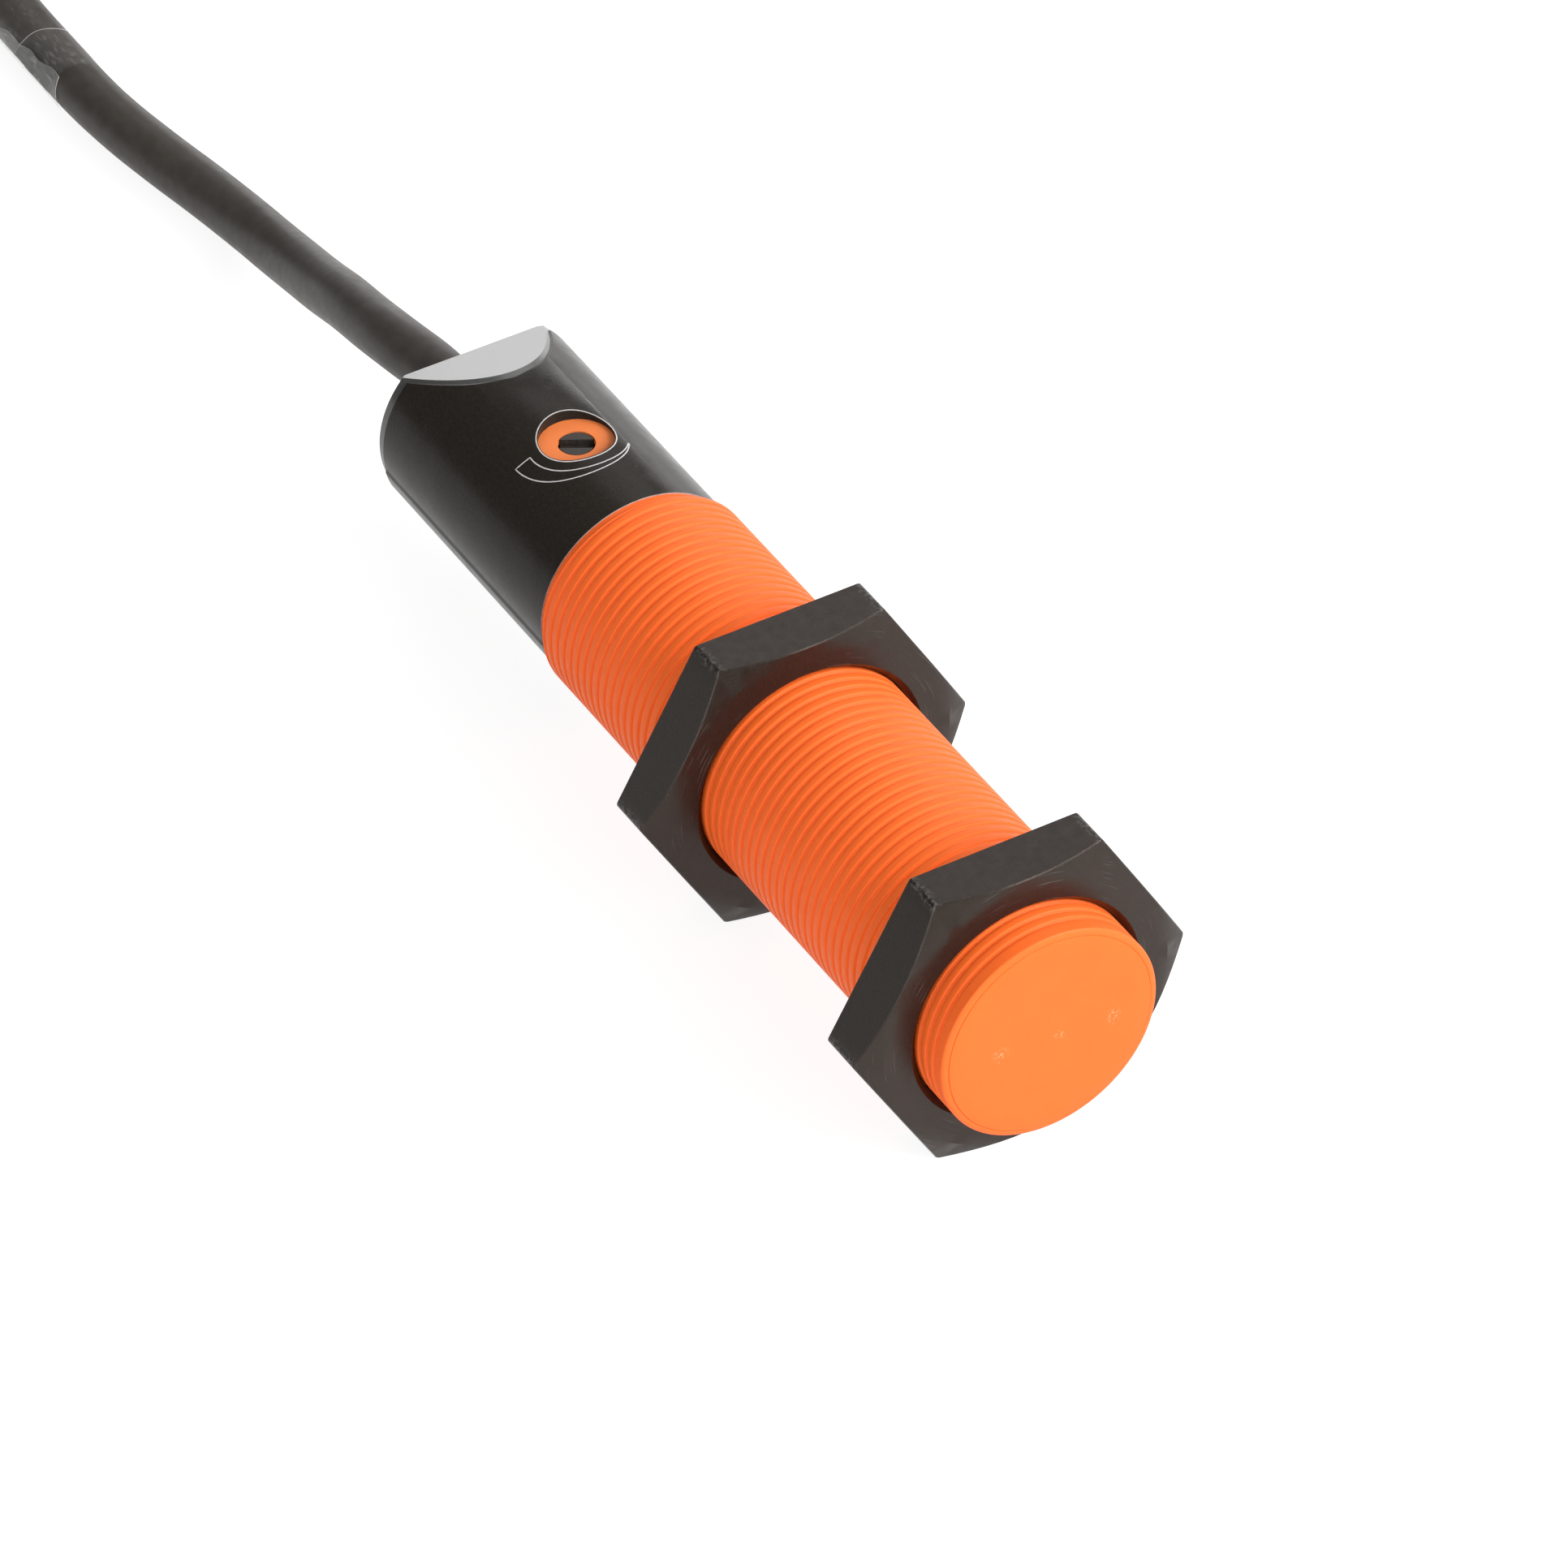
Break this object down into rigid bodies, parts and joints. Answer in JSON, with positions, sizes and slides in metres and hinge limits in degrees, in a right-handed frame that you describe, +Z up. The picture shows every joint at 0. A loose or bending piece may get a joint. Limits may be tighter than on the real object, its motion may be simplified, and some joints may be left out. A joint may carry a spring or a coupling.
{
  "type": "cylindrical proximity sensor",
  "caption": "Threaded cylindrical proximity sensor with lock nuts that travel along the barrel, a slotted sensitivity adjuster in the labelled tail and a cable.",
  "frame": {"origin": "bottom centre of the sensor's box without the cable: the nuts' lower flats are at z = 0 and the barrel's axis is above it", "axes": "+X along the barrel towards the sensing face, +Z up through the adjuster port"},
  "size_m": [0.3031, 0.0515, 0.024],
  "materials": {
    "orange_plastic": "satin moulded plastic",
    "black_plastic": "matte glass-filled moulding",
    "label_film": "satin film",
    "trimmer_plastic": "moulded plastic",
    "rotor_plastic": "moulded plastic",
    "seal_rubber": "soft rubber",
    "carrier_plastic": "moulded plastic",
    "electrode_brass": "bare metal",
    "shield_metal": "tinned sheet",
    "board_laminate": "coated laminate",
    "component_plastic": "moulded packages",
    "capacitor_shell": "dipped resin",
    "absorber_shell": "dipped resin",
    "potting_resin": "cast resin",
    "cable_jacket": "satin PVC jacket",
    "clear_tape": "clear film",
    "tie_fabric": "woven strap",
    "brown_insulation": "PVC insulation",
    "blue_insulation": "PVC insulation",
    "tinned_copper": "tinned sleeve"
  },
  "bodies": {
    "sensor": {"threaded_housing": "orange_plastic", "end_cap": "black_plastic", "label_sleeve": "label_film", "trimmer_body": "trimmer_plastic", "trimmer_seal": "seal_rubber", "cable_seal": "seal_rubber", "electrode_carrier": "carrier_plastic", "sensing_electrode": "electrode_brass", "guard_ring": "electrode_brass", "electrode_pin": "electrode_brass", "crimp_ring": "electrode_brass", "shield_sleeve": "shield_metal", "circuit_board": "board_laminate", "oscillator_chip": "component_plastic", "output_transistor": "component_plastic", "rectifier_bridge": "component_plastic", "chip_resistors": "component_plastic", "filter_capacitor": "capacitor_shell", "surge_absorber": "absorber_shell", "potting_fill": "potting_resin", "cable_run": "cable_jacket", "cable_hank": "cable_jacket", "tape_wrap": "clear_tape", "hank_tie": "tie_fabric", "brown_lead": "brown_insulation", "brown_core": "brown_insulation", "blue_lead": "blue_insulation", "blue_core": "blue_insulation", "core_ferrules": "tinned_copper"},
    "front_nut": {"front_nut": "black_plastic"},
    "rear_nut": {"rear_nut": "black_plastic"},
    "adjuster": {"trimmer_rotor": "rotor_plastic"}
  },
  "joints": [
    {"name": "front_nut_travel", "type": "slide", "parent": "sensor", "child": "front_nut", "axis": [1, 0, 0], "range_m": [-0.01265, 0.003]},
    {"name": "rear_nut_travel", "type": "slide", "parent": "sensor", "child": "rear_nut", "axis": [1, 0, 0], "range_m": [-0.02, 0.01265]},
    {"name": "adjuster_turn", "type": "hinge", "parent": "sensor", "child": "adjuster", "pos_m": [-0.0257, 0, 0.018], "axis": [0, 0, 1], "range_deg": [-135, 135]}
  ]
}
